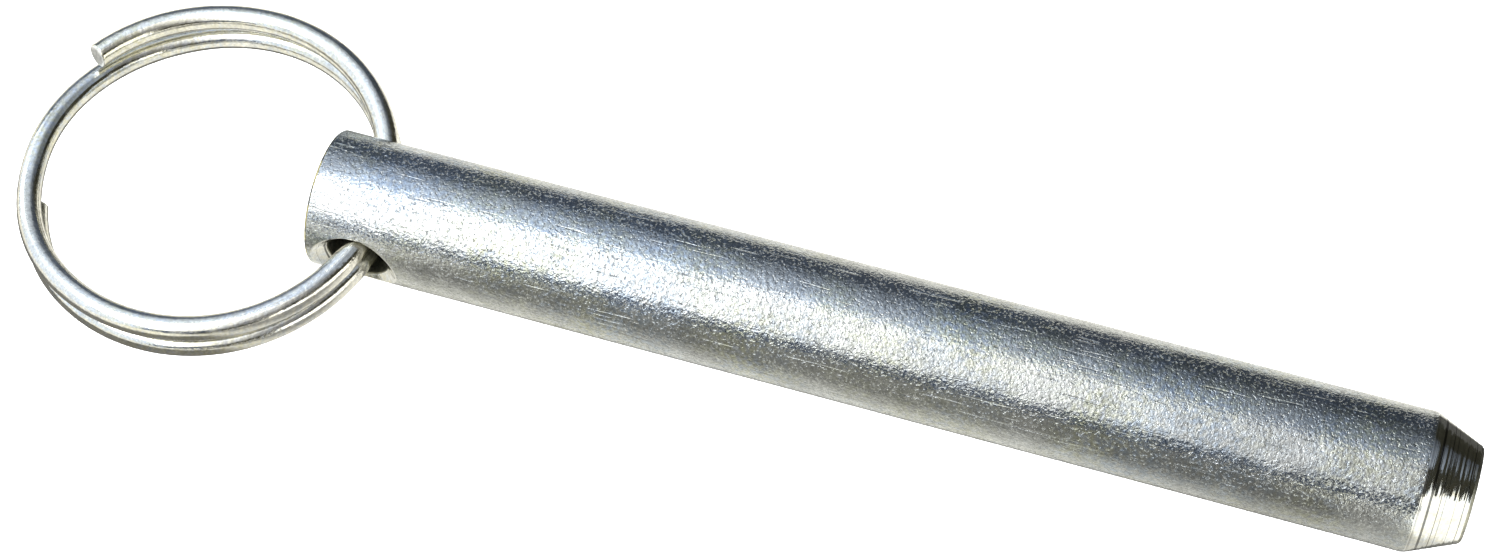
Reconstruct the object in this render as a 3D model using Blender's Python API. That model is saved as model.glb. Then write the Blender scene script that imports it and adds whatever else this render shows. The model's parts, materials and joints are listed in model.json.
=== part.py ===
"""Hitch pin lock: a turned steel pin with a split ring through a hole near one end.

The pin lies along X with its ring end at -X and its tapered tip at +X. It rests on the
ground plane z = 0 beside its ring, which lies almost flat and leans on the same ground.
The origin is the middle of the whole object's footprint, on the ground.
Lengths are in metres and angles in degrees.
"""
import math

import bpy
import bmesh
from mathutils import Matrix, Vector

MM = 0.001

# Pin
PIN_DIAMETER = 12.7 * MM
PIN_LENGTH = 106.4 * MM
PIN_SIDES = 64
RING_END_X = -38.38 * MM       # x of the flat face at the ring's end
PIN_AXIS_Y = 0.96 * MM
RING_END_CHAMFER = 0.15 * MM
TAPER_LENGTH = 4.55 * MM       # the long turned cone that helps the pin into its hole
TIP_RADIUS = 4.44 * MM
TIP_EDGE_BREAK = 0.25 * MM

# Cross hole for the ring
HOLE_X = RING_END_X + 4.7 * MM
HOLE_RADIUS = 2.92 * MM
HOLE_ROLL = 10.6               # the hole's axis leans this far from level, near side down
COUNTERSINK_RADIUS = 4.1 * MM  # at the pin's surface
HOLE_SIDES = 40
CUTTER_OVERSHOOT = 0.5 * MM

# Split ring
WIRE_RADIUS = 1.15 * MM
WIRE_SIDES = 16
RING_RADIUS = 16.85 * MM       # centre of the ring to the middle of the wire
RING_CENTRE_X = 0.5 * MM - RING_RADIUS   # from the hole's centre
RING_CENTRE_Y = -1.07 * MM
RING_SAG = 1.6                 # the free side hangs this far below the hole
RING_STEP = 5.0
# The wire's height above the ring's middle plane, at angles counted clockwise along the wire
# from the ring's far side. It makes the upper turn, crosses down, and makes the lower turn.
RING_RISE = (
    (-59.8, 2.2 * MM),
    (0.0, 1.65 * MM),
    (90.0, 1.4 * MM),
    (200.0, 1.6 * MM),
    (262.0, -0.15 * MM),
    (335.0, -1.5 * MM),
    (450.0, -1.1 * MM),
    (565.0, -1.4 * MM),
    (609.0, -2.5 * MM),
)

PIN_RADIUS = PIN_DIAMETER / 2
HOLE_CENTRE = Vector((HOLE_X, PIN_AXIS_Y, PIN_RADIUS))


def clear_objects():
    for old in list(bpy.data.objects):
        bpy.data.objects.remove(old, do_unlink=True)


def zinc_material(name, colour, roughness):
    material = bpy.data.materials.new(name)
    material.use_nodes = True
    shader = material.node_tree.nodes["Principled BSDF"]
    shader.inputs["Base Color"].default_value = (*colour, 1.0)
    shader.inputs["Metallic"].default_value = 1.0
    shader.inputs["Roughness"].default_value = roughness
    return material


def circumscribed(radius, sides):
    """Corner radius of a polygon whose flats lie on a circle of the given radius."""
    return radius / math.cos(math.pi / sides)


def turned_mesh(name, profile, sides):
    """Closed solid turned about its own Z axis from (height, radius) pairs, bottom to top."""
    shape = bmesh.new()
    half_step = math.pi / sides
    rings = []
    for height, radius in profile:
        ring = []
        for side in range(sides):
            turn = half_step + 2 * math.pi * side / sides
            ring.append(shape.verts.new((radius * math.cos(turn), radius * math.sin(turn), height)))
        rings.append(ring)
    for lower, upper in zip(rings, rings[1:]):
        for side in range(sides):
            after = (side + 1) % sides
            shape.faces.new((lower[side], lower[after], upper[after], upper[side]))
    shape.faces.new(list(reversed(rings[0])))
    shape.faces.new(rings[-1])
    mesh = bpy.data.meshes.new(name)
    shape.to_mesh(mesh)
    shape.free()
    mesh.shade_smooth()
    mesh.set_sharp_from_angle(angle=math.radians(30))
    return mesh


def add_object(name, data):
    thing = bpy.data.objects.new(name, data)
    bpy.context.scene.collection.objects.link(thing)
    return thing


def make_hole_cutter():
    """The cross hole with a 45 degree countersink at both mouths."""
    end = PIN_RADIUS + CUTTER_OVERSHOOT
    sink_start = PIN_RADIUS - (COUNTERSINK_RADIUS - HOLE_RADIUS)
    end_radius = HOLE_RADIUS + end - sink_start
    radii = ((-end, end_radius), (-sink_start, HOLE_RADIUS), (sink_start, HOLE_RADIUS), (end, end_radius))
    profile = [(height, circumscribed(radius, HOLE_SIDES)) for height, radius in radii]
    cutter = add_object("hole_cutter", turned_mesh("hole_cutter", profile, HOLE_SIDES))
    cutter.location = HOLE_CENTRE
    cutter.rotation_euler = (math.radians(90 + HOLE_ROLL), 0, 0)
    cutter.display_type = "WIRE"
    cutter.hide_render = True
    return cutter


def make_pin():
    """Cold-drawn bar, chamfered at the ring's end and turned to a long taper at the tip."""
    tip_slope = (PIN_RADIUS - TIP_RADIUS) / TAPER_LENGTH
    break_radius = TIP_RADIUS + TIP_EDGE_BREAK * tip_slope
    radii = (
        (0.0, PIN_RADIUS - RING_END_CHAMFER),
        (RING_END_CHAMFER, PIN_RADIUS),
        (PIN_LENGTH - TAPER_LENGTH, PIN_RADIUS),
        (PIN_LENGTH - TIP_EDGE_BREAK, break_radius),
        (PIN_LENGTH, TIP_RADIUS - TIP_EDGE_BREAK),
    )
    profile = [(along, circumscribed(radius, PIN_SIDES)) for along, radius in radii]
    pin = add_object("pin", turned_mesh("pin", profile, PIN_SIDES))
    pin.location = (RING_END_X, PIN_AXIS_Y, PIN_RADIUS)
    pin.rotation_euler = (0, math.radians(90), 0)
    pin.data.materials.append(zinc_material("pin_zinc", (0.66, 0.68, 0.70), 0.28))
    hole = pin.modifiers.new("cross_hole", "BOOLEAN")
    hole.operation = "DIFFERENCE"
    hole.solver = "EXACT"
    hole.object = make_hole_cutter()
    return pin


def wire_rise(angle):
    """Height of the wire at an angle, eased from each named height to the next."""
    for (start, low), (stop, high) in zip(RING_RISE, RING_RISE[1:]):
        if angle <= stop:
            share = (angle - start) / (stop - start)
            return low + (high - low) * share * share * (3 - 2 * share)
    return RING_RISE[-1][1]


def wire_point(angle):
    turn = math.radians(angle)
    return Vector((
        RING_CENTRE_X + RING_RADIUS * math.sin(turn),
        RING_CENTRE_Y + RING_RADIUS * math.cos(turn),
        wire_rise(angle),
    ))


def make_ring():
    """One length of round wire in nearly two turns; its origin is on the cross hole's axis."""
    first = RING_RISE[0][0]
    last = RING_RISE[-1][0]
    steps = math.ceil((last - first) / RING_STEP)
    curve = bpy.data.curves.new("split_ring", "CURVE")
    curve.dimensions = "3D"
    curve.twist_mode = "MINIMUM"
    curve.bevel_depth = circumscribed(WIRE_RADIUS, WIRE_SIDES)
    curve.bevel_resolution = WIRE_SIDES // 2 - 2
    curve.use_fill_caps = True
    path = curve.splines.new("POLY")
    path.points.add(steps)
    for index in range(steps + 1):
        angle = first + (last - first) * index / steps
        path.points[index].co = (*wire_point(angle), 1.0)
    path.use_smooth = True
    ring = add_object("split_ring", curve)
    roll = Matrix.Rotation(math.radians(HOLE_ROLL), 4, "X")
    sag = Matrix.Rotation(math.radians(-RING_SAG), 4, "Y")
    ring.matrix_world = Matrix.Translation(HOLE_CENTRE) @ roll @ sag
    curve.materials.append(zinc_material("ring_zinc", (0.70, 0.71, 0.70), 0.18))
    return ring


def main():
    clear_objects()
    make_pin()
    make_ring()


main()
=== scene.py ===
# %% [markdown]
# # Hitch pin lock: how it looks
# A hitch pin lock is a steel pin that drops through two holes on a trailer coupling, with a sprung wire
# ring through one end to pull it by. Both pieces are plated with bright zinc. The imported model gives
# their sizes and the hinge that the ring swings on. This lesson builds the fine meshes, the zinc and
# the studio round that frame.

import json
from math import asin, atan2, cos, degrees, hypot, pi, radians, sin, sqrt

import bmesh
import bpy
from mathutils import Matrix, Vector, noise


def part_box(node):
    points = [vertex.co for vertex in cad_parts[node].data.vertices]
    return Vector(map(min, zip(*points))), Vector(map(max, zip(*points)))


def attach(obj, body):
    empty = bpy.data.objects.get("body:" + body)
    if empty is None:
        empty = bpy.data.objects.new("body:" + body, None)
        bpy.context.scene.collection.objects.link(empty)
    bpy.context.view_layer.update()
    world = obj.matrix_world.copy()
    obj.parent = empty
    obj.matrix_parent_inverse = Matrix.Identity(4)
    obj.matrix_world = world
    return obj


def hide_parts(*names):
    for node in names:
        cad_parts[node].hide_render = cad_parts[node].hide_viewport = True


MM = 0.001

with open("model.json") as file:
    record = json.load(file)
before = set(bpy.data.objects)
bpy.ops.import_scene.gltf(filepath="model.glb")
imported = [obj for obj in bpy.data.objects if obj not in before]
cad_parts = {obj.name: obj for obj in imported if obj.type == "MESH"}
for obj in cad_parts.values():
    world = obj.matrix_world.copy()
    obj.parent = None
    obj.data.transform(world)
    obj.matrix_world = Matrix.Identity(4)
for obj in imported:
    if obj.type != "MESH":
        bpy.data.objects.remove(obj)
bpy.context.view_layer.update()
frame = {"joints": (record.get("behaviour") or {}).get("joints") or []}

# %% [markdown]
# ## Sizes, read from the frame
# The pin's box gives its ends, its radius and the height of its axis. The hinge gives the middle of the
# cross hole and the hole's direction, because the ring turns about the hole. Only what a box can't say
# is named here: the hole's size, the taper and the wire. All lengths are in millimetres until a mesh is
# made.

# %% Pin and hole sizes
pin_low, pin_high = (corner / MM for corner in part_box("pin"))
ring_hinge = frame["joints"][0]
hole_middle = Vector(ring_hinge["pos_m"]) / MM
hole_roll = asin(ring_hinge["axis"][2])

RING_END_X = pin_low.x
TIP_FACE_X = pin_high.x
SHANK_RADIUS = (pin_high.z - pin_low.z) / 2
RING_END_CHAMFER = 0.15
TAPER_LENGTH = 4.55
TIP_RADIUS = 4.44
TIP_EDGE_BREAK = 0.25
HOLE_RADIUS = 2.92
COUNTERSINK_RADIUS = 4.1
COUNTERSINK_START = SHANK_RADIUS - (COUNTERSINK_RADIUS - HOLE_RADIUS)

print(f"pin: {TIP_FACE_X - RING_END_X:.1f} mm long, {2 * SHANK_RADIUS:.2f} mm across")
hole_inset = hole_middle.x - RING_END_X
print(f"cross hole: {hole_inset:.1f} mm from the ring end, rolled {degrees(hole_roll):.1f} degrees")

# %% [markdown]
# ## The camera
# A long lens close by gives the slight perspective: the ring end is a little larger than the tip. The
# camera stands by an aim point on the pin's axis height, an azimuth (0 stands in front, at -Y), an
# elevation and a small roll.

# %% Stand the camera
AIM_POINT = Vector((1.35, 3.95, SHANK_RADIUS))
CAMERA_DISTANCE = 285.8
CAMERA_AZIMUTH = 14.8
CAMERA_ELEVATION = 50.56
CAMERA_ROLL = 3.07
LENS = 75.4
SENSOR = 36.0


def direction(azimuth, elevation):
    """The unit vector towards an azimuth from -Y (turning to +X) and an elevation, both in degrees."""
    turn, rise = radians(azimuth), radians(elevation)
    return Vector((sin(turn) * cos(rise), -cos(turn) * cos(rise), sin(rise)))


def look_back_from(azimuth, elevation, distance, roll=0.0):
    """A matrix at that distance from the aim point in mm, whose -Z looks at the aim point."""
    away = direction(azimuth, elevation)
    facing = (-away).to_track_quat("-Z", "Y").to_matrix().to_4x4()
    stand = Matrix.Translation((AIM_POINT + away * distance) * MM)
    return stand @ facing @ Matrix.Rotation(radians(roll), 4, "Z")


camera_data = bpy.data.cameras.new("studio_camera")
camera_data.lens = LENS
camera_data.sensor_width = SENSOR
camera_data.clip_start = 0.01
camera_data.clip_end = 20.0
camera = bpy.data.objects.new("studio_camera", camera_data)
camera.matrix_world = look_back_from(CAMERA_AZIMUTH, CAMERA_ELEVATION, CAMERA_DISTANCE, CAMERA_ROLL)
bpy.context.scene.collection.objects.link(camera)
bpy.context.scene.camera = camera
print("camera in mm:", [round(v / MM, 1) for v in camera.matrix_world.translation])

# %% [markdown]
# ## Two helpers for materials
# Colours are written as the hex values a paint chart shows, and the shader wants them linear. Nodes are
# many, so one function adds any of them: its settings are keyword values, and its inputs are numbers,
# colours or other outputs.

# %% Colour and node helpers


def paint(hex_colour):
    """An sRGB hex colour as linear red, green, blue and alpha."""
    channels = [int(hex_colour[i : i + 2], 16) / 255 for i in (1, 3, 5)]
    return [c / 12.92 if c <= 0.04045 else ((c + 0.055) / 1.055) ** 2.4 for c in channels] + [1.0]


def add(tree, kind, feeds, **settings):
    """Adds a node with its settings. feeds maps an input to a value or to another node's output."""
    made = tree.nodes.new(kind)
    for name, value in settings.items():
        setattr(made, name, value)
    for key, value in feeds.items():
        if isinstance(value, bpy.types.NodeSocket):
            tree.links.new(value, made.inputs[key])
        else:
            made.inputs[key].default_value = value
    return made


def grain_per(mm):
    """The scale that makes a noise pattern's features about that many millimetres across."""
    return 1 / (mm * MM)


def ease(tree, value, start, end, low=0.0, high=1.0):
    """The value between start and end, as a smooth step from low to high, held beyond both."""
    return add(
        tree,
        "ShaderNodeMapRange",
        {"Value": value, "From Min": start, "From Max": end, "To Min": low, "To Max": high},
        interpolation_type="SMOOTHSTEP",
    ).outputs[0]


def product(tree, a, b):
    """Two strengths multiplied, each a number or a node's output."""
    return add(tree, "ShaderNodeMath", {0: a, 1: b}, operation="MULTIPLY").outputs[0]


def tint(tree, amount, under, over):
    """A colour that goes from under to over by amount."""
    return add(tree, "ShaderNodeMix", {0: amount, 6: under, 7: over}, data_type="RGBA").outputs[2]


# %% [markdown]
# ## The studio
# Shiny metal is a mirror, so what it looks like is mostly what stands round it. Its room is built from
# a few large cards that only its reflections see: a window on the left with a low wall under it, a
# softbox in front that is brightest at its left end, a ceiling card behind that is brightest at the left
# and overhead, and a wall on the right. The dark gaps between them draw the dark bands along the pin
# and the dark edges on the wire.

# %% Cards that the metal reflects


def glow(name, colour, strength):
    """A material that only gives out light. Its strength is a number or a function that builds one."""
    material = bpy.data.materials.new(name)
    material.use_nodes = True
    tree = material.node_tree
    tree.nodes.clear()
    if callable(strength):
        strength = strength(tree)
    light = add(tree, "ShaderNodeEmission", {"Color": paint(colour), "Strength": strength})
    add(tree, "ShaderNodeOutputMaterial", {"Surface": light.outputs[0]})
    return material


def fade(*runs):
    """A card's strength. A run has an axis, its start and end (0 to 1 across) and a value at each."""

    def build(tree):
        place = add(tree, "ShaderNodeTexCoord", {})
        across = add(tree, "ShaderNodeSeparateXYZ", {0: place.outputs["Generated"]})
        strength = 1.0
        for axis, first, last, start, end in runs:
            strength = product(tree, strength, ease(tree, across.outputs[axis], first, last, start, end))
        return strength

    return build


def seen_only_by_gloss(piece):
    """Leaves a stage piece to reflections: the camera, shadows and matt surfaces don't see it."""
    piece.visible_camera = False
    piece.visible_diffuse = False
    piece.visible_shadow = False
    piece.visible_transmission = False
    piece.visible_volume_scatter = False


def sheet_mesh(name, width, depth):
    """A flat rectangle in mm, centred on its origin and facing +Z."""
    mesh = bpy.data.meshes.new(name)
    w, d = width * MM / 2, depth * MM / 2
    mesh.from_pydata([(-w, -d, 0), (w, -d, 0), (w, d, 0), (-w, d, 0)], [], [(0, 1, 2, 3)])
    return mesh


def card(name, azimuth, elevation, distance, width, height, colour, strength):
    """A glowing card that faces the pin, standing at an azimuth and elevation."""
    mesh = sheet_mesh(name, width, height)
    mesh.materials.append(glow(name, colour, strength))
    piece = bpy.data.objects.new(name, mesh)
    piece.matrix_world = look_back_from(azimuth, elevation, distance)
    bpy.context.scene.collection.objects.link(piece)
    seen_only_by_gloss(piece)
    print(f"{name}: {degrees(2 * atan2(width / 2, distance)):.0f} degrees wide")


card("left_window", -75, 36, 600, 960, 760, "#EAF3FF", fade(("X", 0, 1, 1.8, 1.5)))
card("left_low_wall", -60, 13, 200, 260, 110, "#EAF3FF", 1.3)
softbox_glow = fade(("X", 0.1, 0.85, 3.4, 0.27), ("X", 0.33, 0.43, 1.7, 1))
card("front_softbox", -4, 49, 500, 860, 620, "#FFFFFF", softbox_glow)
ceiling_glow = fade(("X", 0.38, 0.72, 0.55, 2.2), ("Y", 0, 1, 0.28, 1))
card("ceiling_card", 180, 72, 504, 1100, 530, "#DCE8FA", ceiling_glow)
card("right_wall", 62, 5, 600, 520, 330, "#FFFDF4", fade(("X", 0, 1, 2.4, 1.9)))

# %% [markdown]
# ## Floor, table card and room
# The floor is plain white paper, lit so well that it burns out. It lies well below the pin, because the
# ring can swing down past it. The metal doesn't see the floor: it sees a table card just below the pin,
# white behind and dark in front, like a black cloth laid in front of chrome to give it an edge. The cloth
# is a little darker to the right. The card also has the shade that lies under the ring and the pin.
# Beyond the tip it is bright in front and dark behind, which gives the taper its white lower part and
# its dark upper part.

# %% Floor and table
FLOOR_SIZE = 6000
TABLE_SIZE = 2400
FLOOR_DROP = 45.0
TABLE_DROP = 0.5
CLOTH_BACK_EDGE = -2.0
CLOTH_LEFT_EDGE = -44.0
CLOTH_RIGHT_EDGE = 68.0
CLOTH_SOFTNESS = 14.0
WHITE_TABLE = 1.2
BLACK_CLOTH = 0.37
RIGHT_CLOTH = 0.72
RING_MIDDLE_FROM_HOLE = 16.35
RING_SHADE = 0.8
RING_SHADE_INSIDE = (11.5, 14.5)
RING_SHADE_OUTSIDE = (33, 24)
RING_SHADE_RIGHT = (-36, -44)
PIN_SHADE = 0.75
PIN_SHADE_FRONT = (-4.0, -3.0)
PIN_SHADE_BACK = (8, 5)
PIN_SHADE_LEFT = (-40, -36)
RIGHT_CLOTH_FRONT = (5, -4)
RIGHT_CLOTH_START = (20, 60)
BEYOND_TIP = 2.2
BEYOND_TIP_START = (66, 72)
BEHIND_TIP = 0.1
BEHIND_TIP_START = (4, 10)


def paper(name):
    """Matt white paper, with light of its own so that it burns out to white."""
    material = bpy.data.materials.new(name)
    material.use_nodes = True
    shader = material.node_tree.nodes["Principled BSDF"]
    shader.inputs["Base Color"].default_value = paint("#F4F4F4")
    shader.inputs["Roughness"].default_value = 0.9
    shader.inputs["Emission Color"].default_value = paint("#FFFFFF")
    shader.inputs["Emission Strength"].default_value = 0.75
    return material


def edge(tree, value, run):
    """A soft edge on the table: 0 up to a run's first place in mm and 1 from its second."""
    return ease(tree, value, run[0] * MM, run[1] * MM)


def weaken(tree, strength, where, share):
    """The strength, times share in the places where the mask is 1."""
    return product(tree, strength, ease(tree, where, 0, 1, 1, share))


def table_strength(tree):
    """White but for the cloth in front, the shade under both pieces, and the places by the tip."""
    place = add(tree, "ShaderNodeTexCoord", {}).outputs["Object"]
    spot = add(tree, "ShaderNodeSeparateXYZ", {0: place})
    x, y = spot.outputs["X"], spot.outputs["Y"]

    cloth = edge(tree, y, (CLOTH_BACK_EDGE, CLOTH_BACK_EDGE - CLOTH_SOFTNESS))
    cloth = product(tree, cloth, edge(tree, x, (CLOTH_LEFT_EDGE, CLOTH_LEFT_EDGE + CLOTH_SOFTNESS)))
    cloth = product(tree, cloth, edge(tree, x, (CLOTH_RIGHT_EDGE, CLOTH_RIGHT_EDGE - CLOTH_SOFTNESS)))
    table = add(tree, "ShaderNodeMapRange", {"Value": cloth, "To Min": WHITE_TABLE, "To Max": BLACK_CLOTH})
    strength = table.outputs[0]

    ring_middle = Vector((hole_middle.x - RING_MIDDLE_FROM_HOLE, 0, 0)) * MM
    away = add(tree, "ShaderNodeVectorMath", {0: place, 1: ring_middle}, operation="DISTANCE")
    away = away.outputs["Value"]
    ring_shade = product(tree, edge(tree, away, RING_SHADE_INSIDE), edge(tree, away, RING_SHADE_OUTSIDE))
    ring_shade = product(tree, ring_shade, edge(tree, x, RING_SHADE_RIGHT))
    strength = weaken(tree, strength, ring_shade, 1 - RING_SHADE)

    pin_shade = product(tree, edge(tree, y, PIN_SHADE_FRONT), edge(tree, y, PIN_SHADE_BACK))
    pin_shade = product(tree, pin_shade, edge(tree, x, PIN_SHADE_LEFT))
    strength = weaken(tree, strength, pin_shade, 1 - PIN_SHADE)

    right_side = product(tree, edge(tree, y, RIGHT_CLOTH_FRONT), edge(tree, x, RIGHT_CLOTH_START))
    strength = weaken(tree, strength, right_side, RIGHT_CLOTH)

    beyond_tip = edge(tree, x, BEYOND_TIP_START)
    strength = weaken(tree, strength, beyond_tip, BEYOND_TIP)
    behind_tip = product(tree, beyond_tip, edge(tree, y, BEHIND_TIP_START))
    return weaken(tree, strength, behind_tip, BEHIND_TIP / BEYOND_TIP)


def lay_flat(name, size, depth, material):
    """A level square sheet that many mm below the plane that the pin lies on."""
    mesh = sheet_mesh(name, size, size)
    mesh.materials.append(material)
    piece = bpy.data.objects.new(name, mesh)
    piece.location.z = -depth * MM
    bpy.context.scene.collection.objects.link(piece)
    return piece


floor = lay_flat("floor", FLOOR_SIZE, FLOOR_DROP, paper("white_paper"))
floor.visible_glossy = False
table_card = lay_flat("table_card", TABLE_SIZE, TABLE_DROP, glow("table_card", "#FFFDF4", table_strength))
seen_only_by_gloss(table_card)

# %% [markdown]
# The room behind the cards is dim, and dimmer still to the right and at the back. It is slightly blue
# on the left and warm on the right, so the gaps between the cards aren't one flat colour. A single
# large lamp, which the metal doesn't see either, lights the paper evenly.

# %% Room and lamp
world = bpy.data.worlds.new("studio_room")
bpy.context.scene.world = world
world.use_nodes = True
room = world.node_tree
room.nodes.clear()
sky = add(room, "ShaderNodeTexCoord", {})
way = add(room, "ShaderNodeSeparateXYZ", {0: sky.outputs["Generated"]})
dimming = product(
    room,
    ease(room, way.outputs["X"], -0.9, 0.7, 0.42, 0.06),
    ease(room, way.outputs["Y"], -0.1, 0.5, 1.0, 0.62),
)
air = tint(room, ease(room, way.outputs["X"], 0.1, 0.45), paint("#CFE1FF"), paint("#EEEBCB"))
backdrop = add(room, "ShaderNodeBackground", {"Color": air, "Strength": dimming})
add(room, "ShaderNodeOutputWorld", {"Surface": backdrop.outputs[0]})

lamp_data = bpy.data.lights.new("overhead_lamp", "AREA")
lamp_data.shape = "DISK"
lamp_data.size = 0.9
lamp_data.energy = 14.0
lamp = bpy.data.objects.new("overhead_lamp", lamp_data)
lamp.matrix_world = look_back_from(-25, 65, 700)
lamp.visible_glossy = False
bpy.context.scene.collection.objects.link(lamp)
bpy.context.scene.view_settings.view_transform = "Standard"

# %% [markdown]
# ## Bright zinc on a tumbled pin
# The pin is cold-drawn steel, cut, tumbled and then zinc plated in a barrel. Tumbling and plating leave
# a fine pebbled skin with small pits, and a few hair scratches along the bar. It breaks every
# reflection's edge into sparkle. Real plating grain is much finer: it is drawn at about a quarter of a
# millimetre, which is as fine as the picture can show. The passivation after plating is a film so thin
# that it shows faint blue and straw tints in patches. The skin is four layers of bump on top of a
# smooth metal, because it is finer than the mesh.

# %% Zinc for the pin's shank


def new_metal(name):
    """A plain metal to build a finish on: the material, its nodes and its shader."""
    material = bpy.data.materials.new(name)
    material.use_nodes = True
    shader = material.node_tree.nodes["Principled BSDF"]
    shader.inputs["Metallic"].default_value = 1.0
    return material, material.node_tree, shader


def cloud(tree, place, size, seed, detail=2.0, roughness=0.5):
    """Soft random patches of that size in mm. Another seed gives other patches."""
    return add(
        tree,
        "ShaderNodeTexNoise",
        {"Vector": place, "W": seed, "Scale": grain_per(size), "Detail": detail, "Roughness": roughness},
        noise_dimensions="4D",
    ).outputs[0]


def ramp(tree, value, start, end, low=0.0, high=1.0):
    """The value between start and end, stretched to run from low to high and held there."""
    return add(
        tree,
        "ShaderNodeMapRange",
        {"Value": value, "From Min": start, "From Max": end, "To Min": low, "To Max": high},
    ).outputs[0]


GRAIN_SIZE = 0.26
MOTTLE_SIZE = 2.4
BLUE_FILM_SIZE = 9.0
STRAW_FILM_SIZE = 7.0
FILM_FLICKER_SIZE = 0.5
LIGHTEST_GRAIN = 1.12
LIGHTEST_MOTTLE = 1.06


def passivated(tree, place, clean, blue, straw, darkest=0.85, patchy=0.95):
    """Zinc's colour: clean metal under patches of blue and straw film, shaded by grain and mottle."""
    flicker = cloud(tree, place, FILM_FLICKER_SIZE, 3.0, detail=1.0)
    blue_area = ramp(tree, cloud(tree, place, BLUE_FILM_SIZE, 1.0), 0.4, 0.65)
    blue_patch = product(tree, blue_area, ramp(tree, flicker, 0.35, 0.65))
    straw_area = ramp(tree, cloud(tree, place, STRAW_FILM_SIZE, 2.0), 0.42, 0.68)
    straw_patch = product(tree, straw_area, ramp(tree, flicker, 0.65, 0.35))
    colour = tint(tree, blue_patch, paint(clean), paint(blue))
    colour = tint(tree, straw_patch, colour, paint(straw))
    fine = cloud(tree, place, GRAIN_SIZE, 4.0, detail=3.0, roughness=0.7)
    grain = ramp(tree, fine, 0.32, 0.68, darkest, LIGHTEST_GRAIN)
    wide = cloud(tree, place, MOTTLE_SIZE, 16.0, detail=3.0)
    mottle = ramp(tree, wide, 0.35, 0.65, patchy, LIGHTEST_MOTTLE)
    shade = product(tree, grain, mottle)
    return add(tree, "ShaderNodeVectorMath", {0: colour, "Scale": shade}, operation="SCALE").outputs[0]


def bump(tree, height, depth, under=None, invert=False):
    """The normal from a bump of that depth in mm, on top of another bump if one is given."""
    feeds = {"Height": height, "Distance": depth * MM}
    if under is not None:
        feeds["Normal"] = under
    return add(tree, "ShaderNodeBump", feeds, invert=invert).outputs[0]


def tumbled_zinc():
    """Barrel-plated skin: bright, hazy in patches, and sparkling where its grains break the light."""
    material, tree, shader = new_metal("tumbled_bright_zinc")
    place = add(tree, "ShaderNodeTexCoord", {}).outputs["Object"]
    colour = passivated(tree, place, "#C6C9C8", "#B3BFCB", "#C4C7B4", darkest=0.6, patchy=0.84)
    tree.links.new(colour, shader.inputs["Base Color"])
    matt = ramp(tree, cloud(tree, place, 5.0, 5.0), 0.35, 0.65, 0.07, 0.14)
    tree.links.new(matt, shader.inputs["Roughness"])

    drawn = bump(tree, cloud(tree, place, 2.2, 6.0), 0.028)
    pebbles = bump(tree, cloud(tree, place, 0.3, 7.0, detail=2.0, roughness=0.6), 0.06, under=drawn)
    pit = ramp(tree, cloud(tree, place, 0.27, 17.0, detail=2.0), 0.56, 0.68)
    pits = bump(tree, pit, 0.035, under=pebbles, invert=True)
    lengthwise = add(tree, "ShaderNodeVectorMath", {0: place, 1: (0.05, 1, 1)}, operation="MULTIPLY")
    scratch = ramp(tree, cloud(tree, lengthwise.outputs[0], 0.3, 18.0, detail=1.0), 0.66, 0.72)
    scratches = bump(tree, scratch, 0.03, under=pits, invert=True)
    tree.links.new(scratches, shader.inputs["Normal"])
    return material


shank_zinc = tumbled_zinc()
print("made", shank_zinc.name)

# %% [markdown]
# ## Turned and drilled surfaces
# The taper and both faces were turned on a lathe, which leaves rings under the plating. The taper's even
# rings are cut in its mesh. Here an uneven set, about half a millimetre wide, runs through the bump, and
# its deepest lines are painted dark as shade in the grooves. Inside the cross hole the plating is thin and
# dull, and the bore is a darker, rougher zinc whose dark grey is also painted shade for the hole's inside;
# the broken edge of the tip has the same zinc. Round the ring end is a sawn edge, drawn as a thin dark
# outline with olive flakes of film.

# %% Zinc for the turned ends and the bore


def turned_zinc():
    """Lathe-turned and plated: bright and clear, with thin dark lines of painted shade where the tool dug
    in.
    """
    material, tree, shader = new_metal("turned_bright_zinc")
    place = add(tree, "ShaderNodeTexCoord", {}).outputs["Object"]
    shader.inputs["Roughness"].default_value = 0.12
    axis = add(tree, "ShaderNodeVectorMath", {0: place, 1: hole_middle * MM}, operation="SUBTRACT")
    across = add(tree, "ShaderNodeVectorMath", {0: axis.outputs[0], 1: (0, 1, 1)}, operation="MULTIPLY")
    radius = add(tree, "ShaderNodeVectorMath", {0: across.outputs[0]}, operation="LENGTH").outputs["Value"]
    run = add(tree, "ShaderNodeSeparateXYZ", {0: axis.outputs[0]}).outputs["X"]
    cut = add(tree, "ShaderNodeMath", {0: run, 1: radius}, operation="SUBTRACT").outputs[0]
    cuts = add(
        tree,
        "ShaderNodeTexNoise",
        {"W": cut, "Scale": grain_per(0.55), "Detail": 2.0, "Roughness": 0.6},
        noise_dimensions="1D",
    ).outputs[0]
    clean = passivated(tree, place, "#D2D3D0", "#C0C8D0", "#D2CFBE")
    # Painted shade: the colour darkens along the deepest lathe lines, as if shade lay in the grooves.
    groove_shade = ramp(tree, cuts, 0.34, 0.39, 0.25, 1.0)
    colour = add(tree, "ShaderNodeVectorMath", {0: clean, "Scale": groove_shade}, operation="SCALE").outputs[0]
    tree.links.new(colour, shader.inputs["Base Color"])
    rings = bump(tree, cuts, 0.035)
    pebbles = bump(tree, cloud(tree, place, 0.4, 8.0, detail=1.0), 0.01, under=rings)
    tree.links.new(pebbles, shader.inputs["Normal"])
    return material


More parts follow.
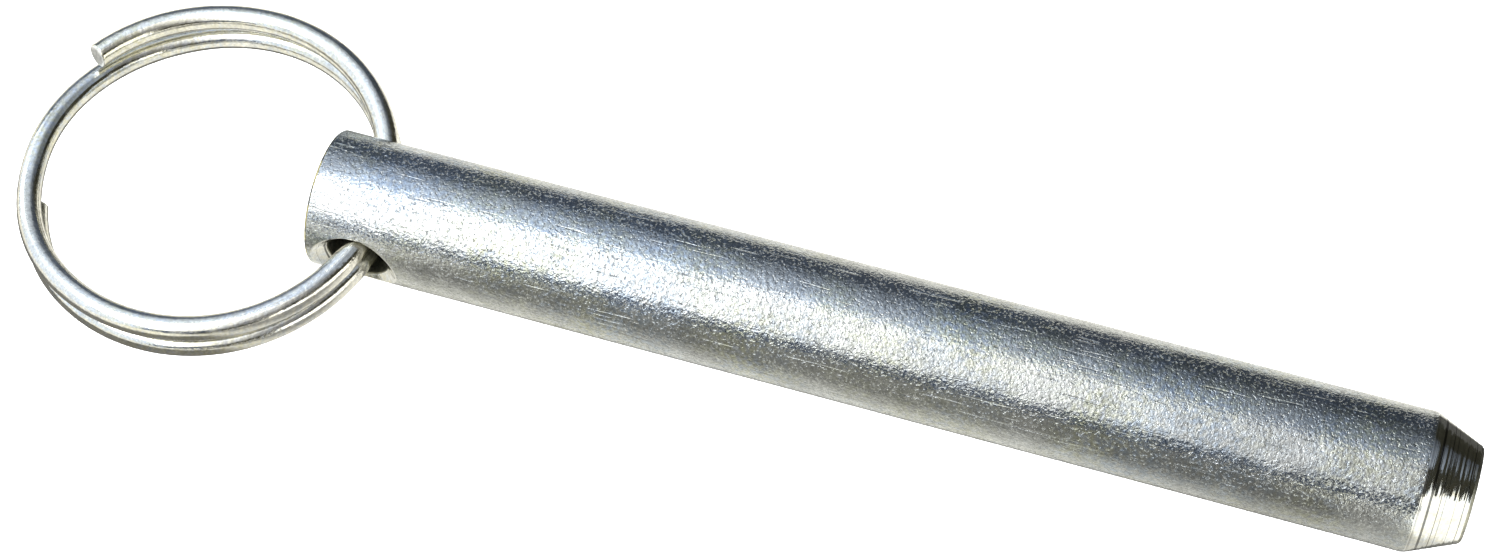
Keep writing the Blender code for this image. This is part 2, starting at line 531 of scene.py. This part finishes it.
def bore_zinc():
    """Plating thinned in a hole and painted shade for its dark inside: grey and matt, so that it gives no
    clear reflection.
    """
    material, tree, shader = new_metal("thin_zinc_and_painted_bore_shade")
    place = add(tree, "ShaderNodeTexCoord", {}).outputs["Object"]
    thin = ramp(tree, cloud(tree, place, 0.8, 9.0), 0.4, 0.6)
    # Painted shade: these dark greys stand for the shade inside the hole, as well as for the thin plating
    # there.
    colour = tint(tree, thin, paint("#83847A"), paint("#A3A294"))
    tree.links.new(colour, shader.inputs["Base Color"])
    shader.inputs["Roughness"].default_value = 0.4
    tree.links.new(bump(tree, cloud(tree, place, 0.3, 10.0), 0.03), shader.inputs["Normal"])
    return material


def edge_zinc():
    """A sawn edge: a thin dark outline with olive flakes of film."""
    material, tree, shader = new_metal("dark_sawn_edge_with_olive_flakes")
    place = add(tree, "ShaderNodeTexCoord", {}).outputs["Object"]
    film = ramp(tree, cloud(tree, place, 1.1, 19.0, detail=2.0), 0.46, 0.56)
    colour = tint(tree, film, paint("#5B5C58"), paint("#B9AE78"))
    tree.links.new(colour, shader.inputs["Base Color"])
    shader.inputs["Roughness"].default_value = 0.45
    tree.links.new(bump(tree, cloud(tree, place, 0.5, 20.0), 0.1), shader.inputs["Normal"])
    return material


pin_finishes = [shank_zinc, turned_zinc(), bore_zinc(), edge_zinc()]
SHANK_FINISH, TURNED_FINISH, BORE_FINISH, EDGE_FINISH = 0, 1, 2, 3
print("pin finishes:", [m.name for m in pin_finishes])

# %% [markdown]
# ## The pin's outline
# A pin is turned, so its outline is a list of stations along the axis, each with a radius, and the mesh
# is that outline carried round. Corners that are sharp on paper are small arcs on metal, and it is
# these arcs that catch light. The shoulder where the taper starts is the softest. The taper's lathe
# rings are a small wave in the radius.

# %% Outline helpers
SHOULDER_ROUND = 0.5
EDGE_ROUND = 0.06
LATHE_PITCH = 0.42
LATHE_DEPTH = 0.012
FACE_CENTRE = 0.6
FACE_SPACING = 0.4


def round_corner(before, corner, after, size, steps):
    """Points of a soft corner, a curve that leaves one side and joins the next, size mm from the corner."""
    start = corner + (before - corner).normalized() * size
    end = corner + (after - corner).normalized() * size
    made = []
    for i in range(steps + 1):
        t = i / steps
        made.append(start * (1 - t) ** 2 + corner * 2 * t * (1 - t) + end * t**2)
    return made


def stations(start, end, spacing):
    """Evenly spaced points from start up to, but without, end."""
    count = max(1, round((end - start).length / spacing))
    return [start.lerp(end, i / count) for i in range(count)]


# %% Stations of the two ends, as x and radius
ring_face = Vector((RING_END_X, FACE_CENTRE))
ring_corner = Vector((RING_END_X, SHANK_RADIUS - RING_END_CHAMFER))
ring_shank = Vector((RING_END_X + RING_END_CHAMFER, SHANK_RADIUS))
shoulder = Vector((TIP_FACE_X - TAPER_LENGTH, SHANK_RADIUS))
taper_end = Vector((TIP_FACE_X - TIP_EDGE_BREAK, TIP_RADIUS))
tip_corner = Vector((TIP_FACE_X, TIP_RADIUS - TIP_EDGE_BREAK))
tip_face = Vector((TIP_FACE_X, FACE_CENTRE))

ring_arc = round_corner(ring_face, ring_corner, ring_shank, EDGE_ROUND, 3)
ring_shank_arc = round_corner(ring_corner, ring_shank, shoulder, EDGE_ROUND, 3)
shoulder_arc = round_corner(ring_shank, shoulder, taper_end, SHOULDER_ROUND, 8)
taper_end_arc = round_corner(shoulder, taper_end, tip_corner, EDGE_ROUND, 3)
tip_arc = round_corner(taper_end, tip_corner, tip_face, EDGE_ROUND, 3)


def lathe_cut(station):
    """Lowers a taper station into the lathe's rings, which fade in after the shoulder."""
    run = station.x - shoulder_arc[-1].x
    share = min(1.0, max(0.0, run / LATHE_PITCH))
    wave = (1 - cos(2 * pi * run / LATHE_PITCH)) / 2
    return Vector((station.x, station.y - LATHE_DEPTH * share * wave))


taper_run = [lathe_cut(s) for s in stations(shoulder_arc[-1], taper_end_arc[0], LATHE_PITCH / 6)]
ring_face_run = stations(ring_face, ring_arc[0], FACE_SPACING)
tip_face_run = stations(tip_arc[-1], tip_face, FACE_SPACING)
left_end = ring_face_run + ring_arc + ring_shank_arc
right_end = shoulder_arc + taper_run[1:] + taper_end_arc + tip_arc + tip_face_run[1:] + [tip_face]
print(f"outline: {len(left_end)} stations at the ring end, {len(right_end)} at the tip")

# %% [markdown]
# ## Weaving the cross hole into the skin
# A Boolean could cut the hole, but it leaves razor edges. Here the skin is a grid round the pin with a
# window left open on each side, and a fan of lines closes each window: from the window's frame in to
# the hole's lip, over a small round, down the 45 degree countersink and through the bore to the far
# side. Every face of the fans is a quad.

# %% Where the grid leaves its windows
AROUND = 192
SHANK_SPACING = 0.45
WINDOW_SPACING = 0.3
WINDOW_HALF_COLUMNS = 24
WINDOW_RIGHT_REACH = 4.9

window_left = ring_shank_arc[-1].x
window_right = hole_middle.x + WINDOW_RIGHT_REACH
window_start = Vector((window_left, SHANK_RADIUS))
window_end = Vector((window_right, SHANK_RADIUS))
window_rows = stations(window_start, window_end, WINDOW_SPACING)
plain_rows = stations(window_end, shoulder_arc[0], SHANK_SPACING)
profile = left_end[:-1] + window_rows + plain_rows + right_end
first_window_row = len(left_end) - 1
last_window_row = first_window_row + len(window_rows)
print(f"{len(profile)} stations; window from row {first_window_row} to {last_window_row}")

hole_along = Vector((0, cos(hole_roll), sin(hole_roll)))
hole_across = Vector((0, -sin(hole_roll), cos(hole_roll)))
axis_offset = Vector((0, hole_middle.y, hole_middle.z))

LONG_HOLLOW = (16, 5)
SHORT_HOLLOW = (4.5, 3)
SHORT_HOLLOW_SHIFT = 40
LONG_HOLLOW_DEPTH = 0.012
SHORT_HOLLOW_DEPTH = 0.005
WEAR_START = window_right + 1
WEAR_EASE_LEFT = 4
WEAR_EASE_RIGHT = 2
SKIN_TOLERANCE = 0.02


def skin_wear(x, along, across):
    """How far the drawn skin dips at a point in mm, in long and short shallow hollows. It never rises."""
    length, width = LONG_HOLLOW
    long_hollow = noise.noise(Vector((x / length, along / width, across / width)))
    length, width = SHORT_HOLLOW
    short_hollow = noise.noise(Vector((x / length + SHORT_HOLLOW_SHIFT, along / width, across / width)))
    return LONG_HOLLOW_DEPTH * (1 + long_hollow) + SHORT_HOLLOW_DEPTH * (1 + short_hollow)


def skin_point(x, radius, turn):
    """A point on the pin at a station, turned from the hole's direction. The wear fades out at both ends."""
    along, across = radius * cos(turn), radius * sin(turn)
    if radius > SHANK_RADIUS - SKIN_TOLERANCE and x > WEAR_START:
        worn = min(1.0, (x - WEAR_START) / WEAR_EASE_LEFT, max(0.0, shoulder.x - x) / WEAR_EASE_RIGHT)
        share = (radius - worn * skin_wear(x, along, across)) / radius
        along, across = along * share, across * share
    return Vector((x, 0, 0)) + axis_offset + hole_along * along + hole_across * across


# %% The grid round the pin
pin_points = []
pin_faces = []
pin_face_finish = []


def add_face(corners, finish):
    """Notes one face of the pin and its finish."""
    pin_faces.append(corners)
    pin_face_finish.append(finish)


for station in profile:
    for column in range(AROUND):
        pin_points.append(skin_point(station.x, station.y, 2 * pi * column / AROUND))


def grid_point(row, column):
    """The number of the grid's point at a station and a column."""
    return row * AROUND + column % AROUND


def in_window(row, column):
    """True if a grid cell lies in the window on either side of the pin."""
    if not first_window_row <= row < last_window_row:
        return False
    near = (column + WINDOW_HALF_COLUMNS) % AROUND < 2 * WINDOW_HALF_COLUMNS
    far = (column + WINDOW_HALF_COLUMNS + AROUND // 2) % AROUND < 2 * WINDOW_HALF_COLUMNS
    return near or far


SHOULDER_ROWS_IN_SHANK = 4
edge_first = len(ring_face_run)
tip_edge_first = profile.index(taper_end_arc[0])
tip_edge_last = profile.index(tip_arc[-1])
shank_first = first_window_row
shank_last = len(left_end) - 1 + len(window_rows) + len(plain_rows)
for row in range(len(profile) - 1):
    finish = SHANK_FINISH if shank_first <= row < shank_last + SHOULDER_ROWS_IN_SHANK else TURNED_FINISH
    if edge_first <= row < shank_first:
        finish = EDGE_FINISH
    if tip_edge_first <= row < tip_edge_last:
        finish = BORE_FINISH
    for column in range(AROUND):
        if not in_window(row, column):
            corners = [grid_point(row, column), grid_point(row, column + 1)]
            corners += [grid_point(row + 1, column + 1), grid_point(row + 1, column)]
            add_face(corners, finish)

for row, x in ((0, RING_END_X), (len(profile) - 1, TIP_FACE_X)):
    middle = len(pin_points)
    pin_points.append(Vector((x, 0, 0)) + axis_offset)
    for column in range(AROUND):
        add_face([grid_point(row, column), grid_point(row, column + 1), middle], TURNED_FINISH)
print(f"grid: {len(pin_points)} points, {len(pin_faces)} faces")

# %% [markdown]
# The window's frame is walked once round. Each of its points looks at the hole's middle, and that
# bearing is the bearing of its line of the fan. The lip, where the countersink's cone meets the pin's
# round skin, is widest along the pin and nearly closes at the sides, as on any cone cut into a rod.

# %% The window's frame
frame_cells = []
for column in range(-WINDOW_HALF_COLUMNS, WINDOW_HALF_COLUMNS):
    frame_cells.append((last_window_row, column))
for row in range(last_window_row, first_window_row, -1):
    frame_cells.append((row, WINDOW_HALF_COLUMNS))
for column in range(WINDOW_HALF_COLUMNS, -WINDOW_HALF_COLUMNS, -1):
    frame_cells.append((first_window_row, column))
for row in range(first_window_row, last_window_row):
    frame_cells.append((row, -WINDOW_HALF_COLUMNS))


def lip_reach(bearing):
    """How far from the hole's axis the cone meets the skin, on a bearing from the pin's length."""
    side = sin(bearing) ** 2
    drop = COUNTERSINK_START - HOLE_RADIUS
    if side < 1e-9:
        return SHANK_RADIUS - drop
    a, b, c = 1 + side, 2 * drop, drop**2 - SHANK_RADIUS**2
    return (-b + sqrt(b**2 - 4 * a * c)) / (2 * a)


# %% Profile of one line of the fan: bore, countersink, lip and skin
BORE_ROWS = 14
BORE_EDGE_ROUND = 0.12
LIP_ROUND = 0.1
CONE_ROWS = 3
FAN_SHARES = (0.12, 0.28, 0.5, 0.75)


def fan_line(bearing, frame_reach):
    """Reach from the hole's axis, height along it and finish, from the bore out to the window's frame."""
    reach = lip_reach(bearing)
    side = sin(bearing)
    height = sqrt(SHANK_RADIUS**2 - (reach * side) ** 2)
    bore_corner = Vector((HOLE_RADIUS, COUNTERSINK_START))
    lip = Vector((reach, height))
    cone_width = (lip - bore_corner).length
    bore_round = min(BORE_EDGE_ROUND, 0.4 * cone_width)
    lip_round = min(LIP_ROUND, 0.4 * cone_width)
    beyond = reach + lip_round
    outside = Vector((beyond, sqrt(SHANK_RADIUS**2 - (beyond * side) ** 2)))
    depth = Vector((HOLE_RADIUS, 0))
    bore_arc = round_corner(depth, bore_corner, lip, bore_round, 3)
    cone_in = bore_arc[-1]
    cone_out = lip + (bore_corner - lip).normalized() * lip_round
    line = [(depth.lerp(bore_arc[0], (i + 1) / BORE_ROWS), BORE_FINISH) for i in range(BORE_ROWS)]
    line += [(p, BORE_FINISH) for p in bore_arc[1:]]
    line += [(cone_in.lerp(cone_out, (i + 1) / CONE_ROWS), TURNED_FINISH) for i in range(CONE_ROWS)]
    for t in (1 / 3, 2 / 3, 1):
        line.append((cone_out * (1 - t) ** 2 + lip * 2 * t * (1 - t) + outside * t**2, TURNED_FINISH))
    for share in FAN_SHARES:
        out = beyond + (frame_reach - beyond) * share
        line.append((Vector((out, sqrt(SHANK_RADIUS**2 - (out * side) ** 2))), SHANK_FINISH))
    return line


# %% The two fans and the bore between them
fan_starts = []
for near in (1, -1):
    start = len(pin_points)
    fan_starts.append(start)
    for row, column in frame_cells:
        turn = 2 * pi * column / AROUND
        run = profile[row].x - hole_middle.x
        rise = SHANK_RADIUS * sin(turn)
        bearing = atan2(rise, run)
        line = fan_line(bearing, hypot(run, rise))
        for place, finish in line:
            offset = Vector((place.x * cos(bearing), 0, 0)) + hole_across * (place.x * sin(bearing))
            pin_points.append(hole_middle + offset + hole_along * (near * place.y))
    finishes = [finish for place, finish in line]
    per_line = len(line)
    count = len(frame_cells)
    for k in range(count):
        k_next = (k + 1) % count
        for i in range(per_line - 1):
            a, b = start + k * per_line + i, start + k_next * per_line + i
            add_face([a, b, b + 1, a + 1], finishes[i + 1])
        row, column = frame_cells[k]
        row_next, column_next = frame_cells[k_next]
        if near < 0:
            column, column_next = AROUND // 2 - column, AROUND // 2 - column_next
        last = start + (k + 1) * per_line - 1
        last_next = start + (k_next + 1) * per_line - 1
        corners = [last, last_next, grid_point(row_next, column_next), grid_point(row, column)]
        add_face(corners, SHANK_FINISH)

for k in range(count):
    k_next = (k + 1) % count
    a, b = fan_starts[0] + k * per_line, fan_starts[0] + k_next * per_line
    c, d = fan_starts[1] + k_next * per_line, fan_starts[1] + k * per_line
    add_face([a, b, c, d], BORE_FINISH)
print(f"with its hole: {len(pin_points)} points, {len(pin_faces)} faces")

# %% [markdown]
# ## From points to a piece
# One function turns points in millimetres and faces into a smooth-shaded object in metres. It drops
# grid points that no face uses, and turns all faces outwards.

# %% Make the pin


def make_piece(name, points, faces, face_finish, finishes):
    """An object from points in mm, faces, each face's finish number and the list of finishes."""
    mesh = bpy.data.meshes.new(name)
    mesh.from_pydata([p * MM for p in points], [], faces)
    for finish in finishes:
        mesh.materials.append(finish)
    mesh.polygons.foreach_set("material_index", face_finish)
    shape = bmesh.new()
    shape.from_mesh(mesh)
    loose = [v for v in shape.verts if not v.link_faces]
    bmesh.ops.delete(shape, geom=loose, context="VERTS")
    bmesh.ops.recalc_face_normals(shape, faces=shape.faces)
    for face in shape.faces:
        face.smooth = True
    open_edges = sum(1 for e in shape.edges if not e.is_manifold)
    shape.to_mesh(mesh)
    shape.free()
    piece = bpy.data.objects.new(name, mesh)
    bpy.context.scene.collection.objects.link(piece)
    print(f"{name}: {len(mesh.polygons)} faces, {open_edges} open edges")
    return piece


plated_pin = make_piece("plated_pin", pin_points, pin_faces, pin_face_finish, pin_finishes)
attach(plated_pin, "pin")
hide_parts("pin")

# %% [markdown]
# ## Zinc on spring wire
# The ring is spring wire, drawn smooth through a die and then plated, so it is a much clearer mirror
# than the pin. Fine die lines run along the wire, with a few nicks from the plating barrel. Its ends
# were sheared, which leaves a rough bright face.

# %% Zinc for the ring
DIE_LINE_SIZE = 0.25


def drawn_wire_zinc():
    """Plated wire: a clear long highlight, only a little broken by die lines and nicks."""
    material, tree, shader = new_metal("drawn_wire_bright_zinc")
    place = add(tree, "ShaderNodeTexCoord", {}).outputs["Object"]
    colour = passivated(tree, place, "#E9E7DD", "#D6DBDF", "#DDDBC4", darkest=0.82, patchy=0.9)
    tree.links.new(colour, shader.inputs["Base Color"])
    matt = ramp(tree, cloud(tree, place, 1.2, 12.0), 0.4, 0.65, 0.1, 0.22)
    tree.links.new(matt, shader.inputs["Roughness"])
    wire = add(tree, "ShaderNodeUVMap", {}, uv_map="along_the_wire").outputs[0]
    stretched = add(tree, "ShaderNodeVectorMath", {0: wire, 1: (0.02, 1, 1)}, operation="MULTIPLY")
    lines = add(
        tree,
        "ShaderNodeTexNoise",
        {"Vector": stretched.outputs[0], "Scale": 1 / DIE_LINE_SIZE, "Detail": 2.0},
        noise_dimensions="2D",
    ).outputs[0]
    die_lines = bump(tree, lines, 0.012)
    nicks = bump(tree, cloud(tree, place, 0.5, 13.0, detail=2.0), 0.022, under=die_lines)
    tree.links.new(nicks, shader.inputs["Normal"])
    return material


def sheared_zinc():
    """Plated over a torn cut: pale and matt, so that it stays light from any side."""
    material, tree, shader = new_metal("sheared_wire_end_zinc")
    place = add(tree, "ShaderNodeTexCoord", {}).outputs["Object"]
    pale = ramp(tree, cloud(tree, place, 0.4, 14.0), 0.4, 0.6)
    colour = tint(tree, pale, paint("#D9DAD7"), paint("#F2F2EF"))
    tree.links.new(colour, shader.inputs["Base Color"])
    shader.inputs["Roughness"].default_value = 0.38
    tree.links.new(bump(tree, cloud(tree, place, 0.3, 15.0), 0.05), shader.inputs["Normal"])
    return material


ring_finishes = [drawn_wire_zinc(), sheared_zinc()]
WIRE_FINISH, SHEARED_FINISH = 0, 1
print("ring finishes:", [m.name for m in ring_finishes])

# %% [markdown]
# ## The ring's path
# The ring is one wire wound almost twice round. Its height above the ring's own plane is listed at a few
# stations, eased between: the wire starts on top, crosses down on the left, and makes its second turn
# beneath. Its last end dips.

# %% Path of the wire, in the ring's own frame
WIRE_RADIUS = 1.15
RING_RADIUS = 16.85
RING_CENTRE_X = 0.5 - RING_RADIUS
RING_CENTRE_Y = -1.07
RING_SAG = 1.6
RING_RISE = (
    (-59.8, 2.2),
    (0, 1.65),
    (90, 1.4),
    (200, 1.6),
    (262, -0.15),
    (335, -1.5),
    (450, -1.1),
    (565, -1.4),
    (609, -2.5),
)
WIRE_STEP = 1.5
WIRE_SIDES = 40
FIRST_END, LAST_END = RING_RISE[0][0], RING_RISE[-1][0]


def wire_height(angle):
    """The wire's height in mm at an angle in degrees, eased between the stations of RING_RISE."""
    for (start, low), (end, high) in zip(RING_RISE, RING_RISE[1:]):
        if angle <= end:
            t = max(0.0, (angle - start) / (end - start))
            return low + (high - low) * t * t * (3 - 2 * t)
    return RING_RISE[-1][1]


def wire_point(angle):
    """The wire's middle at an angle in degrees, clockwise from the side away from the camera."""
    turn = radians(angle)
    x = RING_CENTRE_X + RING_RADIUS * sin(turn)
    y = RING_CENTRE_Y + RING_RADIUS * cos(turn)
    return Vector((x, y, wire_height(angle)))


ring_roll = Matrix.Rotation(hole_roll, 4, "X")
ring_sag = Matrix.Rotation(-radians(RING_SAG), 4, "Y")
ring_place = Matrix.Translation(hole_middle) @ ring_roll @ ring_sag
wire_length = radians(LAST_END - FIRST_END) * RING_RADIUS
print(f"wire: about {wire_length:.0f} mm long, {2 * WIRE_RADIUS:.1f} mm thick")

# %% [markdown]
# The wire's section is carried along the path, at right angles to it. Each end closes with a small
# round, where the shear pressed the edge over, and a flat face. The first end is cut at a slight slant.

# %% Sweep the wire
SHEAR_ROUND = 0.2
END_SLANT = 0.2


def wire_frame(angle):
    """The wire's middle, its direction, and two directions across it."""
    here = wire_point(angle)
    ahead = (wire_point(angle + 0.5) - wire_point(angle - 0.5)).normalized()
    up = Vector((0, 0, 1))
    up = (up - ahead * up.dot(ahead)).normalized()
    return here, ahead, up, ahead.cross(up)


def end_sections():
    """Sections that close an end, from its middle out: setback, share of the radius and finish."""
    closing = [(0.0, 0.35, SHEARED_FINISH), (0.0, 0.7, SHEARED_FINISH)]
    flat = 1 - SHEAR_ROUND / WIRE_RADIUS
    for i in range(5):
        turn = i / 4 * pi / 2
        share = flat + (1 - flat) * sin(turn)
        closing.append((SHEAR_ROUND * (1 - cos(turn)), share, SHEARED_FINISH if i < 2 else WIRE_FINISH))
    return closing


sections = []
steps = round((LAST_END - FIRST_END) / WIRE_STEP)
for setback, share, finish in end_sections():
    sections.append((FIRST_END, setback, share, finish))
for i in range(1, steps):
    sections.append((FIRST_END + (LAST_END - FIRST_END) * i / steps, 0.0, 1.0, WIRE_FINISH))
for setback, share, finish in reversed(end_sections()):
    sections.append((LAST_END, -setback, share, finish))

wire_points = []
wire_places = []
for angle, setback, share, finish in sections:
    here, ahead, up, side = wire_frame(angle)
    for k in range(WIRE_SIDES):
        turn = 2 * pi * k / WIRE_SIDES
        spoke = up * cos(turn) + side * sin(turn)
        slant = END_SLANT * WIRE_RADIUS * share * cos(turn) if angle == FIRST_END else 0.0
        point = here + ahead * (setback + slant) + spoke * (WIRE_RADIUS * share)
        wire_points.append(ring_place @ point)
        wire_places.append((radians(angle) * RING_RADIUS, turn * WIRE_RADIUS))

wire_faces = []
wire_face_finish = []
for s in range(len(sections) - 1):
    finish = max(sections[s][3], sections[s + 1][3])
    for k in range(WIRE_SIDES):
        k_next = (k + 1) % WIRE_SIDES
        corners = [s * WIRE_SIDES + k, s * WIRE_SIDES + k_next]
        corners += [(s + 1) * WIRE_SIDES + k_next, (s + 1) * WIRE_SIDES + k]
        wire_faces.append(corners)
        wire_face_finish.append(finish)
for s in (0, len(sections) - 1):
    angle = sections[s][0]
    middle = len(wire_points)
    wire_points.append(ring_place @ wire_point(angle))
    wire_places.append((radians(angle) * RING_RADIUS, 0.0))
    for k in range(WIRE_SIDES):
        wire_faces.append([s * WIRE_SIDES + k, s * WIRE_SIDES + (k + 1) % WIRE_SIDES, middle])
        wire_face_finish.append(SHEARED_FINISH)

plated_ring = make_piece("plated_split_ring", wire_points, wire_faces, wire_face_finish, ring_finishes)

# %% [markdown]
# The die lines need to know which way the wire runs, so the mesh carries a map: millimetres along the
# wire, and millimetres round it.

# %% Map the wire
wire_map = plated_ring.data.uv_layers.new(name="along_the_wire")
for loop in plated_ring.data.loops:
    wire_map.data[loop.index].uv = wire_places[loop.vertex_index]

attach(plated_ring, "split_ring")
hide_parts("split_ring")
